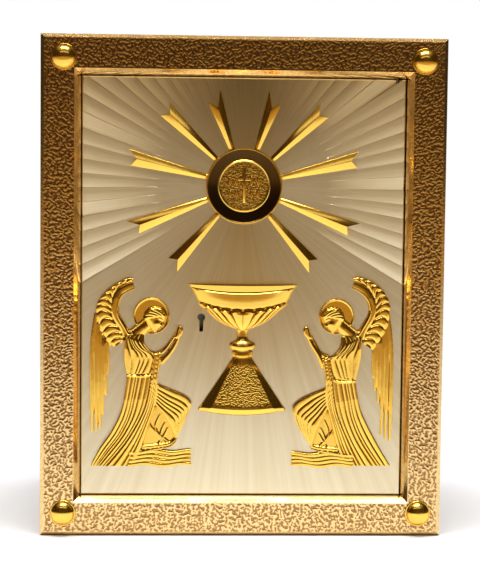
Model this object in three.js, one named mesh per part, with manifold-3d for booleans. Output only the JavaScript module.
// Tabernacle: a free-standing gilt metal cabinet whose framed front holds a hinged door
// with pleated rays, a sunburst medallion, a chalice and two kneeling angels in relief.
// Millimetres, +Z up. The front faces -Y and the cabinet stands on its underside at z = 0.

import * as THREE from "three";
import { mergeVertices } from "three/addons/utils/BufferGeometryUtils.js";
import Module from "manifold-3d";

const wasm = await Module();
wasm.setup();

// Cabinet
const WIDTH = 404;
const HEIGHT = 500;
const DEPTH = 320;
const PANEL_THICKNESS = 4;
const CLEARANCE = 0.3;
const SLIVER = 0.02;

// Front frame
const RAIL_WIDTH = 39.5;
const RAIL_DEPTH = 16;
const OUTER_BEVEL = 3.5;
const INNER_BEVEL_WIDTH = 6;
const INNER_BEVEL_DEPTH = 7.5;
const STUD_RADIUS = 13;
const STUD_HEIGHT = 10;
const STUD_INSET = 23;

// Door
const DOOR_RECESS = 8;
const DOOR_THICKNESS = 9;
const DOOR_GAP = 1.2;
const HINGE_GAP = 1.5;
const HINGE_INSET = 8;
const PIN_RADIUS = 2;
const PIN_HOLE_RADIUS = 2.1;
const PIN_LENGTH = 24;
const KEYHOLE = { x: -41.5, z: 220, radius: 3.85, slotHalfWidth: 1.9, slotBottom: 205.8 };

// Pleated rays pressed into the door's upper part
const BURST_CENTRE = { x: 0, z: 352 };
const PLEAT_COUNT = 48;
const PLEAT_FIRST_ANGLE = -31.5;
const PLEAT_LAST_ANGLE = 211.5;
const PLEAT_START_RADIUS = 84;
const PLEAT_DEPTH_PER_MM = 0.011;
const PLEAT_REACH = 420;

// Sunburst and medallion
const RING_OUTER_RADIUS = 38;
const RING_INNER_RADIUS = 26.4;
const DISC_RADIUS = 26;
const RAY_ROOT_WIDTH = 4.4;
const RAY_TIP_WIDTH = 15.5;
const RAYS = [
  { angle: 19, upperTip: 98, lowerTip: 89, notch: 82 },
  { angle: 46.5, upperTip: 111.5, lowerTip: 108, notch: 102 },
  { angle: 76.5, upperTip: 119.5, lowerTip: 114.5, notch: 110 },
  { angle: 111, upperTip: 122, lowerTip: 115, notch: 111 },
  { angle: 138.5, upperTip: 104, lowerTip: 109, notch: 99 },
];

// Lock on the back of the door
const LOCK_CASE = { left: -152, right: -22, bottom: 190, top: 240, depth: 18, wall: 2.5 };
const BOLT = { left: -159, right: -56, bottom: 224, top: 234, front: 2, back: 8 };

const FRONT_Y = STUD_HEIGHT - (DEPTH + STUD_HEIGHT) / 2;
const BACK_Y = FRONT_Y + DEPTH;
const DOOR_Y = FRONT_Y + DOOR_RECESS;
const OPENING_HALF_WIDTH = WIDTH / 2 - RAIL_WIDTH;
const DOOR_LEFT = -OPENING_HALF_WIDTH + DOOR_GAP;
const DOOR_RIGHT = OPENING_HALF_WIDTH - HINGE_GAP;
const DOOR_BOTTOM = RAIL_WIDTH + DOOR_GAP;
const DOOR_TOP = HEIGHT - RAIL_WIDTH - DOOR_GAP;
const HINGE_X = DOOR_RIGHT - HINGE_INSET;
const HINGE_Y = DOOR_Y + DOOR_THICKNESS / 2;

// Half-round section of a relief fold: share of the half width, share of the height.
const HALF_ROUND = [
  [1, 0],
  [0.42, 0.96],
  [-0.42, 0.96],
  [-1, 0],
];

const radians = THREE.MathUtils.degToRad;

function lerpList(values, t) {
  const place = t * (values.length - 1);
  const index = Math.min(Math.floor(place), values.length - 2);
  return THREE.MathUtils.lerp(values[index], values[index + 1], place - index);
}

function curveThrough(points) {
  return new THREE.SplineCurve(points.map(([x, y]) => new THREE.Vector2(x, y)));
}

function signedVolume(positions, indices) {
  const corners = [new THREE.Vector3(), new THREE.Vector3(), new THREE.Vector3()];
  let volume = 0;
  for (let i = 0; i < indices.length; i += 3) {
    corners.forEach((corner, k) => corner.fromArray(positions, indices[i + k] * 3));
    volume += corners[0].dot(corners[1].cross(corners[2])) / 6;
  }
  return volume;
}

// Merges shared vertices, drops collapsed triangles and turns the faces to look outwards.
function closed(geometry) {
  const bare = geometry.clone();
  bare.deleteAttribute("normal");
  bare.deleteAttribute("uv");
  const merged = mergeVertices(bare, 1e-4);
  const indices = [];
  for (let i = 0; i < merged.index.count; i += 3) {
    const [a, b, c] = [0, 1, 2].map((k) => merged.index.getX(i + k));
    if (a !== b && b !== c && c !== a) {
      indices.push(a, b, c);
    }
  }
  if (signedVolume(merged.attributes.position.array, indices) < 0) {
    indices.reverse();
  }
  merged.setIndex(indices);
  return merged;
}

// Closed solid through a list of rings with the same number of points; each end ring is
// closed by a fan from its first point.
function loft(rings) {
  const size = rings[0].length;
  const positions = rings.flat().flatMap((point) => [point.x, point.y, point.z]);
  const indices = [];
  for (let r = 0; r + 1 < rings.length; r += 1) {
    for (let k = 0; k < size; k += 1) {
      const next = (k + 1) % size;
      const [a, b, c, d] = [r * size + k, r * size + next, (r + 1) * size + next, (r + 1) * size + k];
      indices.push(a, b, c, a, c, d);
    }
  }
  const last = (rings.length - 1) * size;
  for (let k = 1; k + 1 < size; k += 1) {
    indices.push(0, k + 1, k);
    indices.push(last, last + k, last + k + 1);
  }
  const geometry = new THREE.BufferGeometry();
  geometry.setAttribute("position", new THREE.Float32BufferAttribute(positions, 3));
  geometry.setIndex(indices);
  return closed(geometry);
}

// Solid of revolution about +Z from a profile of [radius, height] points.
function turned(profile, segments) {
  const points = profile.map(([radius, height]) => new THREE.Vector2(radius, height));
  return closed(new THREE.LatheGeometry(points, segments).rotateX(Math.PI / 2));
}

function solid(geometry) {
  const merged = closed(geometry);
  return new wasm.Manifold(
    new wasm.Mesh({
      numProp: 3,
      vertProperties: new Float32Array(merged.attributes.position.array),
      triVerts: new Uint32Array(merged.index.array),
    }),
  );
}

function geometryOf(manifold) {
  const mesh = manifold.getMesh();
  const geometry = new THREE.BufferGeometry();
  geometry.setAttribute("position", new THREE.BufferAttribute(mesh.vertProperties, 3));
  geometry.setIndex(new THREE.BufferAttribute(mesh.triVerts, 1));
  geometry.computeVertexNormals();
  return geometry;
}

// Joins overlapping solids into one; pockets sealed between them are filled, and slivers
// thinner than the tolerance are closed up.
function fuse(geometries) {
  const joined = geometries.map(solid).reduce((whole, piece) => whole.add(piece));
  const skins = joined.decompose().sort((a, b) => b.volume() - a.volume());
  return geometryOf(skins[0].simplify(SLIVER));
}

function carve(body, cutters) {
  return geometryOf(cutters.map(solid).reduce((whole, cutter) => whole.subtract(cutter), solid(body)));
}

// Axis-aligned block between two corners.
function block(low, high) {
  const size = high.map((value, i) => value - low[i]);
  const geometry = new THREE.BoxGeometry(...size);
  return geometry.translate(...low.map((value, i) => value + size[i] / 2));
}

// Flat sheet with the given outline, standing from z = 0 to the given height.
function sheet(outline, height) {
  const shape = new THREE.Shape(outline.map(([x, y]) => new THREE.Vector2(x, y)));
  return new THREE.ExtrudeGeometry(shape, { depth: height, bevelEnabled: false });
}

// Half-round fold along a curve through the given points.
function fold(points, widths, heights, steps) {
  const path = curveThrough(points);
  const rings = [];
  for (let i = 0; i <= steps; i += 1) {
    const t = i / steps;
    const point = path.getPoint(t);
    const tangent = path.getTangent(t);
    const half = lerpList(widths, t) / 2;
    const height = lerpList(heights, t);
    rings.push(
      HALF_ROUND.map(
        ([across, up]) =>
          new THREE.Vector3(point.x - tangent.y * across * half, point.y + tangent.x * across * half, up * height),
      ),
    );
  }
  return loft(rings);
}

// Low dome with an elliptical outline, turned in the plane of the relief.
function pad(x, y, radiusX, radiusY, height, turn = 0) {
  const dome = turned([[0, 0], [1, 0], [0.82, 0.57], [0.45, 0.9], [0, 1]], 10);
  return dome.scale(radiusX, radiusY, height).rotateZ(radians(turn)).translate(x, y, 0);
}

const GOLD = { color: 0xd9a441, roughness: 0.14 };
const FRAME_GOLD = { color: 0xc9963c, roughness: 0.3 };
const SATIN = { color: 0xc8b58f, roughness: 0.36 };
const SHEET_BRASS = { color: 0xb8924a, roughness: 0.45 };
const STEEL = { color: 0x9a9a98, roughness: 0.4 };

// Front frame: bevelled rail between two mitre planes, seen in the relief plane.
// Each section point is [distance in from the outer edge, height above the front plane].
const RAIL_SECTION = [
  [0, -RAIL_DEPTH],
  [0, -OUTER_BEVEL],
  [OUTER_BEVEL, 0],
  [RAIL_WIDTH - INNER_BEVEL_WIDTH, 0],
  [RAIL_WIDTH, -INNER_BEVEL_DEPTH],
  [RAIL_WIDTH, -RAIL_DEPTH],
];

function rail(length, turn) {
  const mitreGap = CLEARANCE * Math.SQRT1_2;
  const ends = [-1, 1].map((side) =>
    RAIL_SECTION.map(
      ([inset, up]) => new THREE.Vector3(side * (length / 2 - inset - mitreGap), inset, up),
    ),
  );
  return loft(ends).rotateZ(radians(turn));
}

// Upright cylinder on the hinge line, placed in the relief plane that lies at planeY.
function hingeCylinder(radius, low, high, planeY) {
  const pin = turned([[0, low], [radius, low], [radius, high], [0, high]], 12);
  return pin.rotateX(-Math.PI / 2).translate(HINGE_X, 0, planeY - HINGE_Y);
}

// Door leaf
function pleatCutter(index) {
  const step = radians((PLEAT_LAST_ANGLE - PLEAT_FIRST_ANGLE) / PLEAT_COUNT);
  const low = radians(PLEAT_FIRST_ANGLE) + index * step;
  const rightHalf = index < PLEAT_COUNT / 2;
  const [deepAngle, flushAngle] = rightHalf ? [low, low + step] : [low + step, low];
  const at = (angle, radius, z) =>
    new THREE.Vector3(BURST_CENTRE.x + Math.cos(angle) * radius, BURST_CENTRE.z + Math.sin(angle) * radius, z);
  const depth = PLEAT_DEPTH_PER_MM * (PLEAT_REACH - PLEAT_START_RADIUS);
  const floor = [
    at(deepAngle, PLEAT_START_RADIUS, 0),
    at(flushAngle, PLEAT_REACH, 0),
    at(deepAngle, PLEAT_REACH, -depth),
  ];
  const lid = floor.map((point) => point.clone().setZ(3));
  return loft([floor, lid]);
}

function keyholeCutter(low, high) {
  const { x, z, radius, slotHalfWidth, slotBottom } = KEYHOLE;
  const round = turned([[0, low], [radius, low], [radius, high], [0, high]], 20).translate(x, z, 0);
  const slot = block([x - slotHalfWidth, slotBottom, low], [x + slotHalfWidth, z, high]);
  return fuse([round, slot]);
}

function doorLeaf() {
  const corner = 1;
  const outline = [
    [DOOR_LEFT, -DOOR_THICKNESS],
    [DOOR_RIGHT, -DOOR_THICKNESS],
    [DOOR_RIGHT, -corner],
    [DOOR_RIGHT - corner, 0],
    [DOOR_LEFT, 0],
  ];
  const rings = [DOOR_BOTTOM, DOOR_TOP].map((y) => outline.map(([x, z]) => new THREE.Vector3(x, y, z)));
  const cutters = Array.from({ length: PLEAT_COUNT }, (_, index) => pleatCutter(index));
  cutters.push(keyholeCutter(-DOOR_THICKNESS - 1, 3));
  cutters.push(hingeCylinder(PIN_HOLE_RADIUS, DOOR_TOP - PIN_LENGTH / 2, DOOR_TOP + 1, DOOR_Y));
  cutters.push(hingeCylinder(PIN_HOLE_RADIUS, DOOR_BOTTOM - 1, DOOR_BOTTOM + PIN_LENGTH / 2, DOOR_Y));
  return carve(loft(rings), cutters);
}

// Sunburst: a turned ring with swallow-tailed rays cast in one with it
function ray({ angle, upperTip, lowerTip, notch }, side) {
  const root = RING_OUTER_RADIUS - 5;
  const edge = 1;
  const outline = [
    [notch, 0, 4.2],
    [lowerTip, -side * RAY_TIP_WIDTH / 2, edge],
    [root, -side * RAY_ROOT_WIDTH / 2, edge],
    [root, 0, 2.6],
    [root, side * RAY_ROOT_WIDTH / 2, edge],
    [upperTip, side * RAY_TIP_WIDTH / 2, edge],
  ];
  const rings = [
    outline.map(([x, y]) => new THREE.Vector3(x, y, 0)),
    outline.map(([x, y, z]) => new THREE.Vector3(x, y, z)),
  ];
  return loft(rings).rotateZ(radians(90 - side * angle));
}

function sunburst() {
  const profile = [
    [RING_INNER_RADIUS, 0],
    [RING_OUTER_RADIUS, 0],
    [RING_OUTER_RADIUS, 4.4],
    [RING_OUTER_RADIUS - 0.9, 5],
    [RING_OUTER_RADIUS - 1.8, 4.4],
    [RING_INNER_RADIUS, 3],
    [RING_INNER_RADIUS, 0],
  ];
  const rays = [-1, 1].flatMap((side) => RAYS.map((shape) => ray(shape, side)));
  return fuse([turned(profile, 36), ...rays]);
}

// Medallion: stippled disc with a raised edge, a plain cross and rows of shallow strokes
function stroke(x, y, halfWidth, halfLength, height) {
  const outline = [
    [0, -halfLength],
    [halfWidth, 0],
    [0, halfLength],
    [-halfWidth, 0],
  ];
  return sheet(outline, height).translate(x, y, 0);
}

function medallion() {
  const profile = [
    [0, 0],
    [DISC_RADIUS, 0],
    [DISC_RADIUS, 4],
    [DISC_RADIUS - 0.7, 4.5],
    [DISC_RADIUS - 1.6, 4],
    [DISC_RADIUS - 2, 2.4],
    [0, 2.4],
  ];
  const crossHalfWidth = 1.3;
  const cross = [
    block([-crossHalfWidth, -17, 1], [crossHalfWidth, 19, 4.2]),
    block([-7, 6.5 - crossHalfWidth, 1], [7, 6.5 + crossHalfWidth, 4.2]),
  ];
  const strokes = [-10, 0].flatMap((y) =>
    [-14, -8, 8, 14].map((x) => stroke(x, y, 1.4, 4.4, 3.9)),
  );
  return fuse([turned(profile, 32), ...cross, ...strokes]);
}

// Chalice: half-round vessel with a lipped rim, a lobed bowl, a knop and a flared foot
const BOWL_LOBES = 8;

function vesselRing(halfWidth, y, sag, height, lobes = 0) {
  const facets = 24;
  const ring = [];
  for (let k = 0; k <= facets; k += 1) {
    const angle = (Math.PI * k) / facets;
    const share = Math.cos(angle);
    const swell = 1 + lobes * Math.abs(Math.sin(BOWL_LOBES * angle));
    const up = k % facets === 0 ? 0 : Math.sin(angle) * height * swell;
    ring.push(new THREE.Vector3(share * halfWidth, y - sag * (1 - share * share), up));
  }
  return ring;
}

const CHALICE_RINGS = [
  [54.5, 253.6, 0.4, 8.5],
  [53.6, 251.6, 4.6, 9.6],
  [52.2, 250.6, 5.2, 7.6],
  [45.6, 238, 8.2, 8.8],
  [45, 237.2, 8.6, 6.6],
  [44.2, 235.6, 8.8, 8.2, 0.16],
  [33, 223.4, 4.4, 8.2, 0.16],
  [19.5, 213.4, 2, 6.6, 0.1],
  [6.4, 208.4, 0.4, 4.4],
  [5.6, 199.4, 0, 4.6],
  [7.6, 196.2, 0, 6],
  [13, 192.2, 1, 8.4],
  [11.8, 187, 0.8, 8.6],
  [10, 184.6, 0.6, 7],
  [10.6, 183, 0.6, 7.4],
  [9.4, 180.4, 0.4, 5.2],
];

function chalice() {
  const vessel = loft(CHALICE_RINGS.map((ring) => vesselRing(...ring)));
  const section = [
    [1, 0],
    [0.98, 0.34],
    [0.76, 1],
    [0.4, 1.12],
    [0, 1.16],
    [-0.4, 1.12],
    [-0.76, 1],
    [-0.98, 0.34],
    [-1, 0],
  ];
  const footRing = (halfWidth, y, sag, height) =>
    section.map(
      ([share, up]) => new THREE.Vector3(share * halfWidth, y - sag * (1 - share * share), up * height),
    );
  const foot = loft([
    footRing(9.6, 181.6, 0.4, 4.4),
    footRing(9.6, 179.4, 0.4, 4.4),
    footRing(41.6, 131, 3.4, 7.6),
    footRing(44.2, 127.4, 4.4, 5.4),
    footRing(43.6, 126.6, 4.6, 4.6),
  ]);
  return fuse([vessel, foot]);
}

// Kneeling angels. Each curve is given as [distance from the door's centre line, height];
// the two figures face each other and differ slightly, as hand-finished pairs do.
const LEFT_ANGEL = {
  side: -1,
  wingOuter: [[109, 259], [116, 259.2], [132, 250.6], [142.7, 239.5], [147.2, 228], [143.4, 209], [137, 198], [129, 189]],
  wingMiddle: [[109, 256], [122.8, 251.2], [128.9, 242], [130.7, 230], [128.6, 219.5], [118.5, 205], [118.2, 196]],
  wingInner: [[108.4, 246.2], [118.7, 240], [122.7, 231.6], [123.3, 223.5], [120, 214.6], [113.5, 206]],
  featherTips: [[150, 103.3], [146, 105], [142.2, 107], [139.4, 121], [136.3, 141], [134.4, 162]],
  halo: [91.2, 221.3],
  haloRadius: 18.8,
  torsoBack: [[112, 203.5], [117.2, 201], [118.6, 188.6], [118.4, 175], [115.8, 162]],
  torsoFront: [[98, 203], [97.6, 194.1], [91.7, 186.4], [84.5, 183.4], [81.4, 176], [84, 163.5]],
  armFront: [[82, 174], [73.4, 183.5], [66.6, 194.3], [61.6, 208]],
  armBack: [[85, 182], [77.6, 187.6], [70.6, 197], [65.4, 205.4]],
  skirtBack: [[115.6, 162], [118.2, 141.3], [122.4, 123.7], [131.4, 105], [143.4, 87], [152.2, 69.3]],
  skirtFront: [[84, 163.5], [84.6, 150], [86.4, 134.7], [93.9, 110.3], [100.4, 88.5], [105.7, 69.3]],
  thigh: [[88, 154.6], [71.3, 147.8], [56.4, 141.6], [50.6, 135], [52.4, 126.7], [58.9, 110.4], [64.4, 99.6]],
  slit: [[90, 135], [78.4, 121.5], [71.2, 109], [67, 98.4]],
  cloakHem: [[65.4, 98], [72.2, 92.4], [86, 90], [100.4, 88.5]],
  baseTop: 86.4,
};

const RIGHT_ANGEL = {
  side: 1,
  wingOuter: [[110, 261], [118, 262], [133, 256], [143.6, 245.6], [149, 232], [146.6, 214], [140, 200], [131, 188]],
  wingMiddle: [[111, 258.6], [124, 252.6], [131.2, 242], [133.3, 231], [131, 220], [121.5, 205], [120.6, 195]],
  wingInner: [[109.6, 248], [118.6, 243], [125, 236], [127.2, 227.6], [124.6, 218], [116, 206]],
  featherTips: [[150.2, 95], [145.8, 97.5], [141.6, 101.6], [138, 135], [134.4, 146.6], [132.4, 160]],
  halo: [94.4, 221.7],
  haloRadius: 18.3,
  torsoBack: [[113, 203.5], [118.8, 200.8], [120.4, 190], [119.2, 176.4], [114.6, 157]],
  torsoFront: [[99, 202], [97, 189.4], [89.4, 181], [82.4, 180], [80.8, 174], [83, 162]],
  armFront: [[82.4, 170], [77.4, 181.6], [69.4, 194.2], [63, 208.2]],
  armBack: [[86, 180.4], [79.4, 184.2], [73.6, 193], [69.2, 202.6]],
  skirtBack: [[114.4, 157], [117, 143], [121, 127], [128.5, 111.1], [139.7, 90.6], [152.1, 70.1]],
  skirtFront: [[83, 162], [83.7, 149], [84.8, 135.5], [90.3, 115], [96.1, 91.8], [104.6, 70]],
  thigh: [[88, 151], [65.5, 142.2], [53, 134], [50.8, 126], [55.4, 113], [62, 101], [69, 91.4]],
  slit: [[90, 134], [80, 116], [75, 104], [71.6, 90.6]],
  cloakHem: [[70, 90.4], [78, 88.4], [88, 87.4], [97.6, 86.6]],
  baseTop: 84,
};

const COVERT_COUNT = 13;
const SKIRT_FOLDS = 7;
const BODICE_FOLDS = 5;
const THIGH_FOLDS = 3;
const BASE_WAVES = 3;
const FEATHER_ROOTS = [[146.4, 224], [145.4, 214], [142, 209], [138.2, 200], [134.5, 195.2], [131.3, 191]];

function smooth(points, count) {
  return curveThrough(points).getPoints(count).map((point) => point.toArray());
}

// Pleated cloth between two edge curves: parallel folds run along the curves.
function pleatedCloth(firstEdge, secondEdge, folds, steps, crests, valleyShare) {
  const [first, second] = [curveThrough(firstEdge), curveThrough(secondEdge)];
  const section = [[0, 0]];
  for (let i = 0; i < folds; i += 1) {
    section.push([(i + 0.05) / folds, valleyShare], [(i + 0.5) / folds, 1]);
  }
  section.push([1, valleyShare], [1, 0]);
  const rings = [];
  for (let i = 0; i <= steps; i += 1) {
    const t = i / steps;
    const [from, to] = [first.getPoint(t), second.getPoint(t)];
    const height = lerpList(crests, t);
    rings.push(
      section.map(([share, up]) => {
        const point = from.clone().lerp(to, share);
        return new THREE.Vector3(point.x, point.y, up * height);
      }),
    );
  }
  return loft(rings);
}

// Band of overlapping scalloped feathers between the wing's outer edge and its middle line.
function coverts(wingOuter, wingMiddle) {
  const [outer, middle] = [curveThrough(wingOuter), curveThrough(wingMiddle)];
  const section = [[0, 0], [0.3, 1], [0.82, 0.85], [1, 0]];
  const rings = [];
  const addRing = (t, height, reach) => {
    rings.push(
      section.map(([share, up]) => {
        const along = THREE.MathUtils.clamp(t - (0.5 / COVERT_COUNT) * Math.sin(Math.PI * share), 0, 1);
        const point = middle.getPoint(along).lerp(outer.getPoint(along), share * reach);
        return new THREE.Vector3(point.x, point.y, up * height);
      }),
    );
  };
  for (let i = 0; i < COVERT_COUNT; i += 1) {
    addRing((i + 0.08) / COVERT_COUNT, 2.3, 0.93);
    addRing((i + 0.85) / COVERT_COUNT, 4.1, 1.03);
  }
  addRing(1, 2.3, 0.9);
  return loft(rings);
}

function wing({ wingOuter, wingMiddle, wingInner, featherTips }) {
  const [middle, inner] = [curveThrough(wingMiddle), curveThrough(wingInner)];
  const bandLine = [0, 0.2, 0.4, 0.6, 0.8, 1].map((t) => middle.getPoint(t).lerp(inner.getPoint(t), 0.4).toArray());
  const feathers = featherTips.map(([x, tip], i) => {
    const root = FEATHER_ROOTS[i];
    return fold([root, [x + 0.6, (root[1] + tip) / 2 + 20], [x, tip]], [5.4, 5.8, 4], [2.2, 3, 2.2], 2);
  });
  return [coverts(wingOuter, wingMiddle), fold(bandLine, [9.6, 10, 9, 8.4], [3, 4, 4.2, 4.6], 6), ...feathers];
}

function head({ halo, haloRadius }) {
  const [x, y] = halo;
  const disc = turned([[0, 0], [haloRadius, 0], [haloRadius - 0.5, 1.9], [haloRadius - 1.8, 1.2], [0, 1.2]], 18);
  return [
    disc.translate(x, y, 0),
    pad(x - 2.6, y - 7.4, 12.2, 9.2, 6.4, -38),
    pad(x + 2.6, y + 1.2, 13.4, 8, 5.8, -30),
    pad(x - 12.2, y - 5.6, 2.6, 3.6, 4.4, -20),
    fold([[x + 1, y - 8], [x + 9, y - 12.4], [x + 21, y - 17.4]], [11, 11, 8], [4.6, 4.6, 4], 3),
  ];
}

function torso({ torsoBack, torsoFront, armFront, armBack, skirtFront }) {
  const belt = torsoBack.at(-1);
  const waist = torsoFront.at(-1);
  const middle = [(belt[0] + waist[0]) / 2, belt[1] - 0.6];
  const sleeve = skirtFront.slice(0, 4).map(([x, y]) => [x + 3, y]);
  return [
    pleatedCloth(torsoFront, torsoBack, BODICE_FOLDS, 5, [4.6, 6, 6.2, 4.6], 0.62),
    fold(armFront, [7, 6, 5.4, 3.4], [4.8, 4.8, 4.4, 3], 4),
    fold(armBack, [7, 5.6, 4.8, 3], [4.2, 3.8, 3.4, 2.6], 3),
    fold([belt, middle, waist], [3, 2.6, 3], [5, 6, 5], 3),
    fold([[torsoFront[2][0] + 3, torsoFront[2][1]], ...sleeve], [6, 7, 6, 3], [5, 6.6, 6, 3], 5),
  ];
}

function legs({ thigh, slit, cloakHem, baseTop }) {
  const [edge, hem] = [curveThrough(slit), curveThrough(cloakHem)];
  const cloakFolds = [0.2, 0.45, 0.7].map((share) => {
    const from = edge.getPoint(share).toArray();
    const to = hem.getPoint(share * 0.8 + 0.12).toArray();
    return fold([[from[0] + 2, from[1]], [from[0] + 6, (from[1] + to[1]) / 2], to], [2.6, 3.6, 2.6], [3, 4, 3], 3);
  });
  const cloakEdge = smooth(slit, 4).map(([x, y]) => [x - 1.5, y + 0.4]);
  const waves = [69.6, baseTop].map((y) => [50.8, 62, 73, 84, 95, 108].map((x, k) => [x, y + (k % 2 ? 0.8 : -0.6)]));
  return [
    pleatedCloth(thigh, slit, THIGH_FOLDS, 6, [5, 6.2, 6.6, 5.2, 3.6], 0.62),
    sheet([...cloakEdge, ...cloakHem, [106, 80], [92, 120]], 1.8),
    ...cloakFolds,
    fold(cloakHem, [5.4, 5.8, 5.8], [3, 4, 4], 4),
    pleatedCloth(waves[0], waves[1], BASE_WAVES, 6, [4, 4.4, 4], 0.5),
  ];
}

function angel(shape) {
  const skirt = pleatedCloth(shape.skirtFront, shape.skirtBack, SKIRT_FOLDS, 5, [5.2, 5.8, 5.4, 4, 3.4], 0.5);
  const pieces = [...wing(shape), ...head(shape), skirt, ...legs(shape), ...torso(shape)];
  return fuse(pieces.map((piece) => piece.scale(shape.side, 1, 1)));
}

// Lock: an open-backed case screwed behind the door, with a bolt that slides out of it
function lockCase() {
  const { left, right, bottom, top, depth, wall } = LOCK_CASE;
  const body = block([left, 0, bottom], [right, depth, top]);
  const hollow = block([left + wall, -1, bottom + wall], [right - wall, depth - wall, top - wall]);
  const window = block(
    [left - 1, BOLT.front - 0.5, BOLT.bottom - 0.5],
    [left + wall + 1, BOLT.back + 0.5, BOLT.top + 0.5],
  );
  return carve(body, [hollow, window]);
}

// Assembly
const tabernacle = new THREE.Group();
const frontPlane = new THREE.Group();
frontPlane.position.y = FRONT_Y;
frontPlane.rotation.x = Math.PI / 2;
const doorPlane = new THREE.Group();
doorPlane.position.y = DOOR_Y;
doorPlane.rotation.x = Math.PI / 2;
const reliefPlane = new THREE.Group();
reliefPlane.position.z = CLEARANCE;
doorPlane.add(reliefPlane);
const doorBack = new THREE.Group();
doorBack.position.y = DOOR_Y + DOOR_THICKNESS + CLEARANCE;
tabernacle.add(frontPlane, doorPlane, doorBack);

function place(group, name, geometry, { color, roughness }) {
  const mesh = new THREE.Mesh(geometry, new THREE.MeshStandardMaterial({ color, roughness, metalness: 1 }));
  mesh.name = name;
  group.add(mesh);
}

const boxFront = FRONT_Y + RAIL_DEPTH + CLEARANCE;
const half = WIDTH / 2;
const innerLow = PANEL_THICKNESS + CLEARANCE;
const innerHigh = HEIGHT - innerLow;
place(tabernacle, "bottom_panel", block([-half, boxFront, 0], [half, BACK_Y, PANEL_THICKNESS]), SHEET_BRASS);
place(
  tabernacle,
  "top_panel",
  block([-half, boxFront, HEIGHT - PANEL_THICKNESS], [half, BACK_Y, HEIGHT]),
  SHEET_BRASS,
);
[-1, 1].forEach((side) => {
  const [low, high] = [side * half, side * (half - PANEL_THICKNESS)].sort((a, b) => a - b);
  const name = side < 0 ? "side_panel_left" : "side_panel_right";
  place(tabernacle, name, block([low, boxFront, innerLow], [high, BACK_Y, innerHigh]), SHEET_BRASS);
});
const backHalf = half - innerLow;
place(
  tabernacle,
  "back_panel",
  block([-backHalf, BACK_Y - PANEL_THICKNESS, innerLow], [backHalf, BACK_Y, innerHigh]),
  SHEET_BRASS,
);

const pinCentres = [RAIL_WIDTH + DOOR_GAP / 2, HEIGHT - RAIL_WIDTH - DOOR_GAP / 2];
const pinHoles = pinCentres.map((y) =>
  hingeCylinder(PIN_HOLE_RADIUS, y - PIN_LENGTH / 2 - CLEARANCE, y + PIN_LENGTH / 2 + CLEARANCE, FRONT_Y),
);
const middleHeight = HEIGHT / 2;
const rails = {
  frame_rail_bottom: carve(rail(WIDTH, 0), [pinHoles[0]]),
  frame_rail_top: carve(rail(WIDTH, 180).translate(0, HEIGHT, 0), [pinHoles[1]]),
  frame_rail_left: rail(HEIGHT, -90).translate(-half, middleHeight, 0),
  frame_rail_right: rail(HEIGHT, 90).translate(half, middleHeight, 0),
};
Object.entries(rails).forEach(([name, geometry]) => place(frontPlane, name, geometry, FRAME_GOLD));

const studProfile = [
  [0, 0],
  [STUD_RADIUS, 0],
  [STUD_RADIUS, 1.2],
  [STUD_RADIUS - 1.2, 2],
  [10.4, 5.2],
  [7.4, 8],
  [0, STUD_HEIGHT - CLEARANCE],
];
const studs = {
  stud_bottom_left: [-half + STUD_INSET, STUD_INSET],
  stud_bottom_right: [half - STUD_INSET, STUD_INSET],
  stud_top_left: [-half + STUD_INSET, HEIGHT - STUD_INSET],
  stud_top_right: [half - STUD_INSET, HEIGHT - STUD_INSET],
};
Object.entries(studs).forEach(([name, [x, y]]) => {
  place(frontPlane, name, turned(studProfile, 16).translate(x, y, CLEARANCE), GOLD);
});
["hinge_pin_bottom", "hinge_pin_top"].forEach((name, i) => {
  const low = pinCentres[i] - PIN_LENGTH / 2;
  place(frontPlane, name, hingeCylinder(PIN_RADIUS, low, low + PIN_LENGTH, FRONT_Y), STEEL);
});

place(doorPlane, "door_leaf", doorLeaf(), SATIN);
place(reliefPlane, "sunburst", sunburst().translate(BURST_CENTRE.x, BURST_CENTRE.z, 0), GOLD);
place(reliefPlane, "medallion", medallion().translate(BURST_CENTRE.x, BURST_CENTRE.z, 0), GOLD);
place(reliefPlane, "chalice", chalice(), GOLD);
place(reliefPlane, "angel_left", angel(LEFT_ANGEL), GOLD);
place(reliefPlane, "angel_right", angel(RIGHT_ANGEL), GOLD);
place(doorBack, "lock_case", lockCase(), STEEL);
place(
  doorBack,
  "lock_bolt",
  block([BOLT.left, BOLT.front, BOLT.bottom], [BOLT.right, BOLT.back, BOLT.top]),
  STEEL,
);

export default tabernacle;
